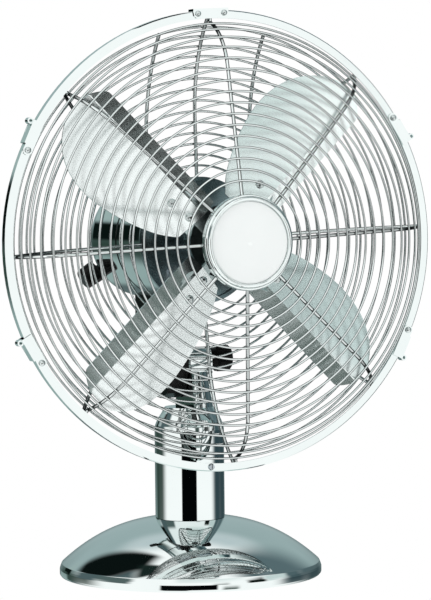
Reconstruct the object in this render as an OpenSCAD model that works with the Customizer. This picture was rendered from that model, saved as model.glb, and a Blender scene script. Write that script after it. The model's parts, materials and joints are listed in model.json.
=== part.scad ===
// Oscillating desk fan with a wire guard, a tilting head and a weighted dome base.
// The fan blows towards -Y. The origin is the middle of the base on the table.

/* [Base] */
// Radius of the domed base
base_r = 100; // [95:1:110]
// Height of the upright skirt round the base
skirt_h = 8.5; // [7:0.5:10]
// Height of the dome above the table, at its middle
dome_h = 45.4; // [42:0.2:48]
// Sheet thickness of the base cover
cover_t = 1.2; // [0.8:0.1:1.4]
// Number of rubber feet
foot_count = 4; // [3:1:6]

/* [Column] */
// Outer radius of the column tube
column_r = 26.5; // [25:0.5:28]
// Height at which the column ends and the neck starts
column_top = 112; // [108:1:114]
// Wall of the column tube
column_t = 1.5; // [1:0.1:2.5]

/* [Tilt] */
// Height of the tilt axis
tilt_z = 165; // [163:0.5:167]
// Diameter of the tilt bolt
bolt_d = 6; // [5:0.5:7]
// Diameter of the tilt knob
knob_d = 20.5; // [18:0.5:21]

/* [Head] */
// Height of the fan axis
hub_z = 256; // [254:1:262]
// Distance of the guard hoop in front of the column axis
hoop_y = 70; // [69:0.5:74]
// Outer radius of the guard hoop
hoop_r = 170; // [169:0.5:172]
// Radius of the motor housing
motor_r = 46; // [44:0.5:47]
// Distance of the oscillation axis behind the column axis
pivot_y = 30; // [28:0.5:32]

/* [Guards] */
// Wire diameter of the rings
ring_w = 1.7; // [1.4:0.1:2]
// Wire diameter of the ribs
rib_w = 2.7; // [2.4:0.1:3]
// Number of ribs on each guard
rib_count = 8; // [6:2:12]
// Distance from ring to ring
ring_step = 8.1; // [7.8:0.1:8.3]
// Radius of the badge in the middle of the front guard
badge_r = 35; // [33:0.5:36]

/* [Blades] */
// Number of blades
blade_count = 4; // [3:1:4]
// Sheet thickness of a blade
blade_t = 1.2; // [0.8:0.1:1.6]
// Rise of a blade across its width, as a slope, near the hub
pitch_root = 0.46; // [0.3:0.02:0.5]
// The same slope at the tip
pitch_tip = 0.34; // [0.2:0.02:0.36]

/* [Hidden] */
$fn = 72;

run_fit = 0.06;
foot_drop = 1.5;
hoop_depth = 7;
hoop_face = 6.1;
hoop_t = 1;
hoop_back = -hoop_y + hoop_depth;
front_slope = 7.5;
front_arc = 43;
front_turn_r = hoop_r - 42;
front_reach = 39;
badge_reach = 49;
rear_slope = 4;
rear_arc = 112;
rear_turn_r = 92;
rear_reach = 39.5;
rear_plate_r = 48;
weld = 0.02;
guard_turn = 3;
stay_x = 42;
stay_foot = 27;
stay_bend = 36;
stay_turn = 84;
stay_arc = 120;
stay_turn_b = rear_reach - (stay_turn - stay_foot) * tan(rear_slope) + 4.4;
rod_d = 8;
shaft_d = 8;
pin_d = 10;
blade_y = -68;
blade_tip = 154;
crease_v = -1;
edge_v = -14;
strip_fall = 0.2;
clip_r = 166.8;
clip_l = 22;
clip_as = [-66, -120.4, 57, 114.8];
hook_a = -3.1;

// Depth of the front guard in front of the hoop face, at radius r.
function front_turn_a() = front_reach - (front_turn_r - badge_r) * tan(front_slope);
function front_c_r() = front_turn_r - front_arc * sin(front_slope);
function front_c_a() = front_turn_a() - front_arc * cos(front_slope);
function front_a(r) = r < front_turn_r
    ? front_reach - (r - badge_r) * tan(front_slope)
    : front_c_a() + sqrt(pow(front_arc, 2) - pow(r - front_c_r(), 2));

// Depth of the rear guard behind the hoop, at radius r.
function rear_turn_b() = rear_reach - (rear_turn_r - rear_plate_r) * tan(rear_slope);
function rear_c_r() = rear_turn_r - rear_arc * sin(rear_slope);
function rear_c_b() = rear_turn_b() - rear_arc * cos(rear_slope);
function rear_b(r) = r < rear_turn_r
    ? rear_reach - (r - rear_plate_r) * tan(rear_slope)
    : rear_c_b() + sqrt(pow(rear_arc, 2) - pow(r - rear_c_r(), 2));

// Ring radii: an even run, then four that close up towards the hoop.
even_rings = [for (k = [0:11]) badge_r + 9.7 + k * ring_step];
rim_rings = [hoop_r - 28.2, hoop_r - 20.7, hoop_r - 14.6, hoop_r - 10.2];
front_rings = concat(even_rings, rim_rings);
rear_even = [for (k = [0:9]) rear_plate_r + 8.5 + k * ring_step];
rear_rim = [hoop_r - 32.5, hoop_r - 25.2, hoop_r - 18, hoop_r - 11.6];
rear_rings = concat(rear_even, rear_rim);

// Places a child modelled along +Z so that it lies on the fan axis, +Z to -Y.
module on_axis(y = 0) {
    translate([0, y, hub_z]) rotate([90, 0, 0]) children();
}

// Turns children round the fan axis, a degrees clockwise from straight up.
module round_axis(a) {
    translate([0, 0, hub_z]) rotate([0, a, 0]) children();
}

module ring(r, y, w) {
    on_axis(y) rotate_extrude() translate([r, 0]) circle(d = w, $fn = 24);
}

module tube(r_out, r_in, h) {
    rotate_extrude() translate([r_in, 0]) square([r_out - r_in, h]);
}

// ---------------------------------------------------------------- base

function dome_z(r) = dome_h - (dome_h - skirt_h - 1) * pow(r / base_r, 2.6);
dome_steps = [for (i = [0:14]) base_r * pow(i / 14, 0.75) * 0.985];

module cover_profile(inset, floor_z) {
    polygon(concat(
        [[0, floor_z]],
        [[0, dome_h - inset]],
        [for (r = dome_steps) if (r > 0) [r - inset * 0.35, dome_z(r) - inset]],
        [[base_r - 0.5 - inset, skirt_h - inset * 0.6]],
        [[base_r - inset, skirt_h - 1.6 - inset * 0.4]],
        [[base_r - inset, foot_drop + 1.2]],
        [[base_r - 1 - inset, floor_z]]));
}

// The cord leaves through a grommet in the skirt.
grommet_z = 5.2;
grommet_d = 4.8;
grommet_r = 3.1;
grommet_l = cover_t + 1.7;

module base_cover() {
    color([0.8, 0.82, 0.82]) difference() {
        rotate_extrude($fn = 120) cover_profile(0, foot_drop);
        rotate_extrude($fn = 120) cover_profile(cover_t, foot_drop - 1);
        cylinder(d = rod_d + 0.6, h = dome_h + 5);
        translate([0, base_r + 5, grommet_z]) rotate([90, 0, 0])
            cylinder(d = grommet_d + 2 * run_fit, h = 12);
    }
}

plate_z = foot_drop + 0.4;
plate_t = 1.6;
plate_r = base_r - cover_t - 1.9;
foot_r = base_r - 18;

module base_plate() {
    color([0.25, 0.26, 0.27]) difference() {
        translate([0, 0, plate_z]) cylinder(r = plate_r, h = plate_t);
        translate([0, 0, plate_z - 1]) cylinder(d = rod_d + 0.4, h = 5);
        for (a = [0:3]) rotate(45 + 90 * a) translate([62, 0, plate_z - 1])
            cylinder(d = 4.4, h = 5);
        for (a = [0:foot_count - 1]) rotate(360 / foot_count * a)
            translate([foot_r, 0, plate_z - 1]) cylinder(d = 6, h = 5);
    }
}

weight_z = plate_z + plate_t;
weight_h = 13;

module base_weight() {
    color([0.3, 0.3, 0.3]) difference() {
        translate([0, 0, weight_z]) rotate_extrude() polygon([
            [24, 0], [76, 0], [76, weight_h - 4], [70, weight_h], [24, weight_h]]);
        for (a = [0:3]) rotate(45 + 90 * a) translate([62, 0, weight_z - 1])
            cylinder(d = 4, h = weight_h + 2);
    }
}

module base_feet() {
    color([0.08, 0.08, 0.08]) for (a = [0:foot_count - 1])
        rotate(360 / foot_count * a) translate([foot_r, 0, 0]) union() {
            cylinder(r1 = 8, r2 = 8.6, h = plate_z);
            cylinder(d = 6, h = plate_z + plate_t + 1.4);
            translate([0, 0, plate_z + plate_t]) cylinder(r1 = 4, r2 = 3, h = 1.4);
        }
}

module base_screws() {
    color([0.6, 0.6, 0.6]) for (a = [0:3]) rotate(45 + 90 * a)
        translate([62, 0, 0]) difference() {
            union() {
                translate([0, 0, plate_z - 1.6]) cylinder(d1 = 6.4, d2 = 7.6, h = 1.6);
                translate([0, 0, plate_z]) cylinder(d = 4, h = 12);
            }
            translate([-2.4, -0.5, 0]) cube([4.8, 1, 0.9]);
            translate([-0.5, -2.4, 0]) cube([1, 4.8, 0.9]);
        }
}

module cord_grommet() {
    color([0.07, 0.07, 0.07]) translate([0, base_r, grommet_z]) rotate([90, 0, 0])
        difference() {
            union() {
                translate([0, 0, -2]) cylinder(r1 = grommet_r - 0.4, r2 = grommet_r, h = 2);
                cylinder(d = grommet_d, h = grommet_l);
                translate([0, 0, cover_t + 0.7]) cylinder(r = grommet_r, h = 1);
            }
            translate([0, 0, -3]) cylinder(d = 3, h = 8);
        }
}

// ---------------------------------------------------------------- column and neck

column_foot = dome_z(column_r - column_t);

module column_tube() {
    color([0.8, 0.82, 0.82]) difference() {
        translate([0, 0, column_foot]) cylinder(r = column_r, h = column_top - column_foot);
        translate([0, 0, column_foot - 1])
            cylinder(r = column_r - column_t, h = column_top - column_foot + 2);
    }
}

module tie_rod() {
    color([0.6, 0.6, 0.6]) translate([0, 0, plate_z - 1.2])
        cylinder(d = rod_d, h = column_top + 8 - plate_z + 1.2);
}

module tie_nut() {
    color([0.55, 0.55, 0.55]) difference() {
        union() {
            translate([0, 0, weight_z]) cylinder(r = 12, h = 1.6);
            translate([0, 0, weight_z + 1.6]) cylinder(d = 15, h = 6.5, $fn = 6);
        }
        translate([0, 0, weight_z - 1]) cylinder(d = rod_d, h = 12);
    }
}

ear_x0 = -3.5;
ear_x1 = 16;
ear_r = 9;

module neck() {
    color([0.78, 0.8, 0.8]) difference() {
        union() {
            translate([0, 0, column_top]) rotate_extrude() polygon([
                [0, 0], [column_r, 0], [column_r - 0.5, 3.2], [column_r - 2.4, 7.8],
                [column_r - 5.4, 12.4], [18.6, 17], [0, 17]]);
            translate([0, 0, column_top - 6]) cylinder(r = column_r - column_t - 0.05, h = 6);
            intersection() {
                translate([ear_x0, -19, column_top + 15]) cube([ear_x1 - ear_x0, 38, 60]);
                union() {
                    translate([0, 0, column_top + 17]) cylinder(r1 = 18.6, r2 = 14.6, h = 27);
                    translate([ear_x0, 0, tilt_z]) rotate([0, 90, 0])
                        cylinder(r = ear_r, h = ear_x1 - ear_x0);
                    translate([ear_x0, -ear_r, column_top + 15])
                        cube([ear_x1 - ear_x0, 2 * ear_r, tilt_z - column_top - 15]);
                }
            }
        }
        translate([-30, 0, tilt_z]) rotate([0, 90, 0]) cylinder(d = bolt_d, h = 60);
        translate([0, 0, column_top - 8]) cylinder(d = rod_d, h = 16.01);
    }
}

bracket_x0 = -20;
bracket_x1 = ear_x0 - 0.84;
knob_x = ear_x1 + 1.4;
knob_l = 16;
bolt_end = knob_x + 10.6;

module tilt_bolt() {
    color([0.6, 0.6, 0.6]) union() {
        translate([bracket_x0 - 4.4, 0, tilt_z]) rotate([0, 90, 0])
            cylinder(d = bolt_d, h = bolt_end - bracket_x0 + 4.4);
        translate([bracket_x0 - 4.4, 0, tilt_z]) rotate([0, 90, 0])
            cylinder(r = 6, h = 3.6);
        translate([bracket_x0 - 0.82, 0, tilt_z]) rotate([0, 90, 0])
            cylinder(r = 7.5, h = 0.8);
    }
}

module tilt_washer() {
    color([0.5, 0.5, 0.48]) translate([bracket_x1 + 0.03, 0, tilt_z]) rotate([0, 90, 0])
        difference() {
            cylinder(r = 8.4, h = ear_x0 - bracket_x1 - 0.03);
            translate([0, 0, -1]) cylinder(d = bolt_d, h = 4);
        }
}

module tilt_knob() {
    color([0.05, 0.05, 0.05]) translate([knob_x, 0, tilt_z]) rotate([0, 90, 0])
        difference() {
            rotate_extrude() polygon([[0, 0], [knob_d / 2 - 2.4, 0], [knob_d / 2 - 1.8, 4],
                [knob_d / 2, 5.2], [knob_d / 2, knob_l - 1.6],
                [knob_d / 2 - 1.6, knob_l], [0, knob_l]]);
            for (a = [0:7]) rotate(45 * a) translate([knob_d / 2 + 1.2, 0, 3.4])
                cylinder(d = 5.2, h = knob_l, $fn = 24);
            translate([0, 0, -1]) cylinder(d = 9, h = 12);
        }
}

module knob_insert() {
    color([0.75, 0.6, 0.3]) translate([knob_x, 0, tilt_z]) rotate([0, 90, 0])
        difference() {
            translate([0, 0, -0.6]) cylinder(d = 9, h = 11.6);
            translate([0, 0, -2]) cylinder(d = bolt_d + 2 * run_fit, h = 15);
        }
}

// ---------------------------------------------------------------- tilting bracket

bracket_top = 183;

// Side outline of the bracket: forward and up as (y, z).
module bracket_outline() {
    union() {
        translate([0, tilt_z]) circle(r = 11.5);
        polygon([[-10.6, tilt_z - 4.4], [-5, tilt_z - 25], [8, tilt_z - 29.5],
            [20, tilt_z - 28.5], [30, tilt_z - 25.5], [39, tilt_z - 26.5],
            [46, tilt_z - 18], [48, bracket_top], [4, bracket_top], [-9, tilt_z + 7]]);
    }
}

module tilt_bracket() {
    color([0.06, 0.06, 0.06]) difference() {
        union() {
            translate([bracket_x0, 0, 0]) rotate([90, 0, 90])
                linear_extrude(bracket_x1 - bracket_x0) bracket_outline();
            translate([0, pivot_y, bracket_top - 14]) cylinder(r = 15.5, h = 14);
        }
        translate([-30, 0, tilt_z]) rotate([0, 90, 0])
            cylinder(d = bolt_d + 2 * run_fit, h = 40);
        translate([0, pivot_y, bracket_top - 40]) cylinder(d = pin_d + 4, h = 60);
        translate([0, pivot_y, bracket_top - 60]) cylinder(r = 10.5, h = 46);
    }
}

module pivot_bush() {
    color([0.72, 0.56, 0.3]) translate([0, pivot_y, bracket_top - 14]) difference() {
        union() {
            cylinder(d = pin_d + 4, h = 14);
            translate([0, 0, 14]) cylinder(r = 11, h = 0.8);
        }
        translate([0, 0, -1]) cylinder(d = pin_d + 2 * run_fit, h = 20);
    }
}

// ---------------------------------------------------------------- oscillating head

gear_z = bracket_top + 0.83;
motor_y0 = hoop_back + rear_reach + 1.5;

module gearbox_case() {
    color([0.07, 0.07, 0.07]) difference() {
        union() {
            translate([0, pivot_y, gear_z]) cylinder(r = 16, h = 12);
            translate([-15, pivot_y - 14, gear_z + 8]) cube([30, 52, 26]);
            translate([0, pivot_y + 38, gear_z + 8]) cylinder(r = 15, h = 26);
        }
        on_axis(motor_y0 + 130) cylinder(r = motor_r + 0.02, h = 140);
        translate([0, pivot_y, gear_z - 1]) cylinder(d = pin_d, h = 12);
    }
}

module pivot_pin() {
    color([0.62, 0.62, 0.62]) union() {
        translate([0, pivot_y, bracket_top - 18]) cylinder(d = pin_d, h = 29.1);
    }
}

module pivot_clip() {
    color([0.4, 0.4, 0.4]) translate([0, pivot_y, bracket_top - 15.25]) difference() {
        cylinder(r = 9, h = 1.2);
        translate([0, 0, -1]) cylinder(d = pin_d, h = 4);
        translate([-1.5, 0, -1]) cube([3, 12, 4]);
    }
}

motor_len = 125;
split_y = motor_y0 + 52;
end_y = motor_y0 + motor_len;
stator_y = motor_y0 + 66;
stator_l = 34;
coil_l = 5;
coil_gap = 0.3;

module motor_front() {
    color([0.82, 0.84, 0.84]) on_axis(split_y) difference() {
        rotate_extrude() polygon([[0, 0], [motor_r, 0], [motor_r, split_y - motor_y0 - 5],
            [motor_r - 1.6, split_y - motor_y0 - 1.6], [motor_r - 5, split_y - motor_y0],
            [0, split_y - motor_y0]]);
        translate([0, 0, -1]) cylinder(r = motor_r - 1.4, h = split_y - motor_y0 - 0.6);
        cylinder(d = 16, h = 80);
        for (a = [0:3]) rotate(45 + 90 * a) translate([plate_screw_r, 0, 0])
            cylinder(d = plate_screw_d + 2 * run_fit, h = 80);
    }
}

plate_screw_r = 33;
plate_screw_d = 4;

// The rear shell has a rounded end with a ring of cooling slots.
module motor_rear() {
    shell_l = end_y - split_y - 3;
    color([0.82, 0.84, 0.84]) difference() {
        on_axis(end_y) rotate_extrude() difference() {
            polygon(concat([[0, shell_l], [motor_r, shell_l]],
                [for (i = [0:9]) [motor_r - 22 * (1 - cos(i * 10)), 22 - 22 * sin(i * 10)]],
                [[0, 0]]));
            polygon(concat([[-1, shell_l + 1], [motor_r - 1.4, shell_l + 1]],
                [for (i = [0:9]) [motor_r - 1.4 - 21 * (1 - cos(i * 10)),
                    22.4 - 21 * sin(i * 10)]],
                [[-1, 1.4]]));
        }
        for (i = [0:9]) round_axis(36 * i + 18) translate([0, end_y, 15]) union() {
            translate([-1.6, -12, 0]) cube([3.2, 24, 10]);
        }
        round_axis(speed_a) translate([0, speed_y, 0]) cylinder(d = 7, h = 60);
        translate([0, clutch_y, hub_z]) cylinder(d = 6, h = 60);
        on_axis(end_y + 1) cylinder(r = 5, h = 5);
        for (a = shell_screw_as) round_axis(a) translate([0, end_y, shell_screw_r])
            rotate([90, 0, 0]) translate([0, 0, -5])
                cylinder(d = shell_head_d + 2 * run_fit, h = 12);
    }
}

// Two long screws hold the rear shell; their heads sit in its rounded end.
shell_screw_as = [30, 210];
shell_screw_r = 33;
shell_head_d = 6.6;
shell_screw_l = end_y - stator_y - coil_l - 2 * coil_gap - 5;

// A small domed cap holds the rear shell on the end of the motor frame.
module rear_cap() {
    color([0.8, 0.82, 0.82]) on_axis(end_y + 11) rotate_extrude() polygon([
        [0, 0], [3, 0.4], [5.6, 1.6], [7.4, 3.6], [8, 6], [8, 9], [9.4, 9.6], [9.4, 11],
        [4.9, 11], [4.9, 12.2], [0, 12.2]]);
}

module motor_band() {
    color([0.1, 0.1, 0.1]) on_axis(split_y + 3) difference() {
        cylinder(r = motor_r - 0.6, h = 3);
        translate([0, 0, -1]) cylinder(r = motor_r - 1.38, h = 5);
    }
}

module motor_screws() {
    color([0.6, 0.6, 0.6]) for (a = shell_screw_as) round_axis(a)
        translate([0, end_y, shell_screw_r]) rotate([90, 0, 0]) difference() {
            union() {
                translate([0, 0, 5]) cylinder(d = 3.4, h = shell_screw_l);
                translate([0, 0, 1.5]) cylinder(d1 = 5, d2 = shell_head_d, h = 4.6);
            }
            translate([-2, -0.4, 1]) cube([4, 0.8, 1.6]);
        }
}

module stator_core() {
    color([0.35, 0.36, 0.38]) on_axis(stator_y) difference() {
        cylinder(r = motor_r - 1.42, h = stator_l);
        translate([0, 0, -1]) cylinder(r = 22, h = 40);
        for (a = [0:11]) rotate(30 * a) translate([20, -2.4, -1]) cube([11, 4.8, 40]);
    }
}

module stator_windings() {
    color([0.72, 0.42, 0.2]) for (y = [stator_y + coil_gap + coil_l, stator_y - stator_l - coil_gap])
        on_axis(y) rotate_extrude() translate([30, 0]) square([7.4, coil_l]);
}

shaft_y0 = -hoop_y - 8;
shaft_y1 = end_y - 3;

module motor_shaft() {
    color([0.7, 0.7, 0.7]) on_axis(shaft_y1) cylinder(d = shaft_d, h = shaft_y1 - shaft_y0);
}

module rotor_core() {
    color([0.4, 0.4, 0.42]) on_axis(stator_y - 1) difference() {
        cylinder(r = 21.4, h = 32);
        translate([0, 0, -1]) cylinder(d = shaft_d, h = 40);
    }
}

module bearing(y) {
    color([0.72, 0.56, 0.3]) on_axis(y) difference() {
        union() {
            cylinder(d = 16, h = 7);
            translate([0, 0, 3.4]) cylinder(r = 12, h = 2.18);
        }
        translate([0, 0, -1]) cylinder(d = shaft_d + 2 * run_fit, h = 10);
    }
}

module front_bearing() { bearing(motor_y0 + 7.2); }
module rear_bearing() { bearing(end_y - 1.4); }

clutch_y = motor_y0 + 78;

module clutch_rod() {
    color([0.6, 0.6, 0.6]) translate([0, clutch_y, hub_z + motor_r - 5])
        cylinder(d = 4, h = 14);
}

module clutch_knob() {
    color([0.05, 0.05, 0.05]) translate([0, clutch_y, hub_z + motor_r + 7])
        difference() {
            rotate_extrude() polygon([[0, 0], [4.6, 0], [4.2, 3], [7, 5.2], [7.4, 8],
                [6, 10.2], [2.6, 11], [0, 11]]);
            translate([0, 0, -1]) cylinder(d = 4, h = 3);
        }
}

speed_a = -122;
speed_y = end_y - 13;

module speed_switch() {
    color([0.12, 0.12, 0.12]) round_axis(speed_a) translate([0, speed_y, 25])
        difference() {
            union() {
                translate([-9, -8, 0]) cube([18, 12, 11]);
                translate([0, 0, 11]) cylinder(d = 6.9, h = motor_r - 37);
            }
            translate([0, 0, 2]) cylinder(d = 4.4 + 2 * run_fit, h = 40);
        }
}

module speed_knob() {
    color([0.05, 0.05, 0.05]) round_axis(speed_a) translate([0, speed_y, motor_r + 1.2])
        difference() {
            union() {
                rotate_extrude() polygon([[0, 0], [8.4, 0], [8.8, 1], [8.2, 12], [7.2, 13.2],
                    [0, 13.2]]);
                translate([0, 0, -17]) cylinder(d = 4.4, h = 18);
            }
            for (i = [0:11]) rotate(30 * i) translate([9.2, 0, 3]) cylinder(d = 2.2, h = 12);
        }
}

// ---------------------------------------------------------------- blades

// Half outline of a blade: distance from the fan axis and reach to the round side.
blade_us = [27, 33, 40, 50, 62, 76, 90, 104, 118, 130, 140, 147, 151.4];
function round_side(u) = lookup(u, [[27, 22], [33, 26.5], [40, 31], [50, 35.5], [62, 40],
    [76, 43.8], [90, 46.4], [104, 47], [118, 45], [130, 40.6], [140, 33.6],
    [147, 25.6], [151.4, 17]]);
function straight_side(u) = u < 140 ? edge_v : edge_v + 13 * pow((u - 140) / 11.4, 1.6);
function pitch(u) = pitch_root + (pitch_tip - pitch_root) * (u - 27) / (blade_tip - 27);
function grow(u) = max(0, min(1, (u - 54) / 36));
function sheet_y(u, v) = blade_y + (v - 15) * pitch(u)
    + (v < crease_v ? (crease_v - v) * (pitch(u) + strip_fall) : 0)
    + 0.0022 * grow(u) * pow(max(v, crease_v) - 18, 2);
blade_vn = 9;
function blade_v(u, j) = j == 0 ? straight_side(u)
    : j == 1 ? max(crease_v, straight_side(u) + 0.8)
    : max(crease_v, straight_side(u) + 0.8)
        + (round_side(u) - max(crease_v, straight_side(u) + 0.8)) * (j - 1) / (blade_vn - 2);

// One closed sheet: a front skin and a back skin on the same grid, joined round the edge.
module blade() {
    nu = len(blade_us);
    nv = blade_vn;
    skin = [for (s = [-1, 1]) for (i = [0:nu - 1]) for (j = [0:nv - 1])
        let (u = blade_us[i], v = blade_v(blade_us[i], j))
        [-v, sheet_y(u, v) + s * blade_t / 2, u]];
    n = nu * nv;
    faces = concat(
        [for (i = [0:nu - 2]) for (j = [0:nv - 2])
            [i * nv + j, i * nv + j + 1, (i + 1) * nv + j + 1, (i + 1) * nv + j]],
        [for (i = [0:nu - 2]) for (j = [0:nv - 2])
            [n + i * nv + j, n + (i + 1) * nv + j, n + (i + 1) * nv + j + 1,
                n + i * nv + j + 1]],
        [for (i = [0:nu - 2]) [i * nv, (i + 1) * nv, n + (i + 1) * nv, n + i * nv]],
        [for (i = [0:nu - 2]) [i * nv + nv - 1, n + i * nv + nv - 1,
            n + (i + 1) * nv + nv - 1, (i + 1) * nv + nv - 1]],
        [for (j = [0:nv - 2]) [j, n + j, n + j + 1, j + 1]],
        [for (j = [0:nv - 2]) [(nu - 1) * nv + j, (nu - 1) * nv + j + 1,
            n + (nu - 1) * nv + j + 1, n + (nu - 1) * nv + j]]);
    polyhedron(skin, faces, convexity = 6);
}

module blades() {
    color([0.85, 0.88, 0.87]) for (k = [0:blade_count - 1])
        round_axis(45 + 360 / blade_count * k) blade();
}

spider_t = 2;

// A flat cross whose four lobes carry the blades, with a boss on the shaft.
module blade_spider() {
    color([0.6, 0.62, 0.62]) difference() {
        union() {
            on_axis(spider_y + spider_t / 2) cylinder(r = 27, h = spider_t);
            on_axis(spider_y + 11) cylinder(r = 11, h = 20);
            for (k = [0:blade_count - 1]) round_axis(45 + 360 / blade_count * k)
                spider_arm();
        }
        on_axis(60) cylinder(d = shaft_d, h = 200);
    }
}

spider_y = blade_y - 1.5;

// An arm lies on the blade's back, turned to its slope.
module spider_arm() {
    translate([-arm_v, sheet_y(arm_u, arm_v) + blade_t / 2 + 0.1, arm_u])
        rotate([0, 0, -atan(pitch(arm_u))]) rotate([-90, 0, 0]) union() {
            cylinder(r = 15, h = spider_t);
            translate([-9, 0, 0]) cube([18, 26, spider_t]);
        }
}

arm_u = 41;
arm_v = 8;

module blade_rivets() {
    color([0.8, 0.8, 0.8]) for (k = [0:blade_count - 1])
        round_axis(45 + 360 / blade_count * k)
            for (p = [[50, 9], [33, 7]])
                translate([-p[1], sheet_y(p[0], p[1]), p[0]])
                    rotate([0, 0, -atan(pitch(p[0]))]) rotate([90, 0, 0]) union() {
                        intersection() {
                            translate([0, 0, 0.2]) sphere(r = 3.4, $fn = 40);
                            translate([-5, -5, blade_t / 2 - 0.1]) cube(10);
                        }
                        translate([0, 0, -4.2]) cylinder(d = 3, h = 5);
                    }
}

module hub_nut() {
    color([0.7, 0.72, 0.72]) on_axis(spider_y - 9) difference() {
        union() {
            cylinder(d = 17, h = 7, $fn = 6);
            translate([0, 0, 6.5]) intersection() {
                sphere(r = 8, $fn = 48);
                translate([-10, -10, 0]) cube(20);
            }
        }
        translate([0, 0, -1]) cylinder(d = shaft_d, h = 9);
    }
}

// ---------------------------------------------------------------- guards

module rear_plate() {
    color([0.75, 0.77, 0.77]) on_axis(motor_y0 - 0.1) difference() {
        union() {
            cylinder(r = rear_plate_r, h = 1.4);
            translate([0, 0, 1.4]) tube(rear_plate_r, rear_plate_r - 3, 2.2);
        }
        translate([0, 0, -1]) cylinder(d = 26, h = 6);
        for (a = [0:3]) rotate(45 + 90 * a) translate([plate_screw_r, 0, -1])
            cylinder(d = plate_screw_d + 2 * run_fit, h = 6);
    }
}

module plate_screws() {
    color([0.6, 0.6, 0.6]) for (a = [0:3]) round_axis(45 + 90 * a)
        translate([0, motor_y0 + 6, plate_screw_r]) rotate([90, 0, 0]) difference() {
            union() {
                cylinder(d = plate_screw_d, h = 7.6);
                translate([0, 0, 7.5]) cylinder(d1 = 7.4, d2 = 5.6, h = 2.4);
            }
            translate([-2.4, -0.5, 9]) cube([4.8, 1, 2]);
        }
}

// One rib lies in a plane through the fan axis: a straight wire from r0 to r1,
// then an arc that turns it towards the hoop by end_a degrees.
module rib(r0, r1, slope, arc, end_a) {
    union() {
        rotate([-slope, 0, 0]) translate([0, 0, -(r1 - r0) / cos(slope)])
            cylinder(d = rib_w, h = (r1 - r0) / cos(slope) - weld, $fn = 24);
        translate([0, arc * cos(slope), -arc * sin(slope)]) rotate([0, -90, 0])
            rotate([0, 0, slope - 90]) rotate_extrude(angle = end_a, $fn = 96)
                translate([arc, 0]) circle(d = rib_w, $fn = 24);
    }
}

// Each rib is sunk into the rings that cross it by the depth of a spot weld.
spot_weld = 0.25;
rib_under = (ring_w + rib_w) / 2 - spot_weld;

// The front ribs turn down until they lie just behind the hoop's flat face, and a
// short straight end goes out under it.
seat_y = -hoop_y + hoop_t + rib_w / 2 + weld;
front_bend = front_arc - rib_under;
front_end = acos((-hoop_y - seat_y - front_c_a()) / front_bend);
front_end_r = front_c_r() + front_bend * sin(front_end);
foot_l = hoop_r - hoop_t - 0.4 - front_end_r - rib_w / 2;

module front_guard() {
    color([0.8, 0.82, 0.82]) union() {
        for (r = front_rings) ring(r, -hoop_y - front_a(r), ring_w);
        for (k = [0:rib_count - 1]) round_axis(360 / rib_count * k - guard_turn) {
            translate([0, -hoop_y - front_turn_a(), front_turn_r])
                translate([0, rib_under * cos(front_slope), -rib_under * sin(front_slope)])
                    rib(badge_r - 2, front_turn_r, front_slope, front_bend,
                        front_end - front_slope);
            translate([0, seat_y, front_end_r + rib_w / 2 + weld])
                cylinder(d = rib_w, h = foot_l, $fn = 24);
        }
    }
}

rim_w = 3.2;
rim_y = seat_y + (rib_w + rim_w) / 2 + weld;
rim_r = hoop_r - hoop_t - rim_w / 2 - weld;
rear_end_r = rim_r - rim_w / 2 - weld;
rear_bend = rear_arc - rib_under;
rear_end = asin((rear_end_r - rear_c_r()) / rear_bend);

// The rear guard also has two upright stay wires beside its middle rib.
module rear_guard() {
    color([0.72, 0.75, 0.75]) union() {
        for (r = rear_rings) ring(r, hoop_back + rear_b(r), ring_w);
        ring(rim_r, rim_y, rim_w);
        for (k = [0:rib_count - 1]) round_axis(360 / rib_count * k - guard_turn)
            translate([0, hoop_back + rear_turn_b(), rear_turn_r]) mirror([0, 1, 0])
                translate([0, rib_under * cos(rear_slope), -rib_under * sin(rear_slope)])
                    rib(rear_plate_r + 0.3, rear_turn_r, rear_slope, rear_bend,
                        rear_end - rear_slope);
        for (x = [-stay_x, stay_x]) translate([x, hoop_back + stay_turn_b, hub_z + stay_turn])
            mirror([0, 1, 0]) rib(stay_foot, stay_turn, rear_slope, stay_arc, stay_bend);
    }
}

// The hoop is a rolled angle: a flat face in front and a band round the outside.
module guard_hoop() {
    color([0.85, 0.87, 0.87]) difference() {
        on_axis(-hoop_y + hoop_depth) rotate_extrude($fn = 160)
            polygon([[hoop_r - hoop_t, 0], [hoop_r, 0], [hoop_r, hoop_depth - 0.8],
                [hoop_r - 0.8, hoop_depth], [hoop_r - hoop_face, hoop_depth],
                [hoop_r - hoop_face, hoop_depth - hoop_t],
                [hoop_r - hoop_t, hoop_depth - hoop_t]]);
        for (a = clip_as) face_hole(a, 0, clip_r, clip_pin_d);
        for (x = [-1, 1]) face_hole(hook_a, x * hook_x, hoop_r - hook_in, hook_pin_d);
        face_hole(screw_a, 0, hoop_r - screw_in, screw_d);
    }
}

// A hole through the hoop's flat face for a pin of diameter d.
module face_hole(a, x, r, d) {
    round_axis(a) translate([x, -hoop_y + 3, r]) rotate([90, 0, 0])
        cylinder(d = d + 2 * run_fit, h = 6, $fn = 32);
}

clip_pin_d = 2;
hook_pin_d = 1.6;
hook_x = 10.4;
hook_in = 2.4;
hook_l = 28;
hook_t = 1.1;
hook_lift = 0.1;
hook_gap = 0.02;
screw_d = 2.6;
screw_in = 3.5;
screw_a = 184.2;

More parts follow.
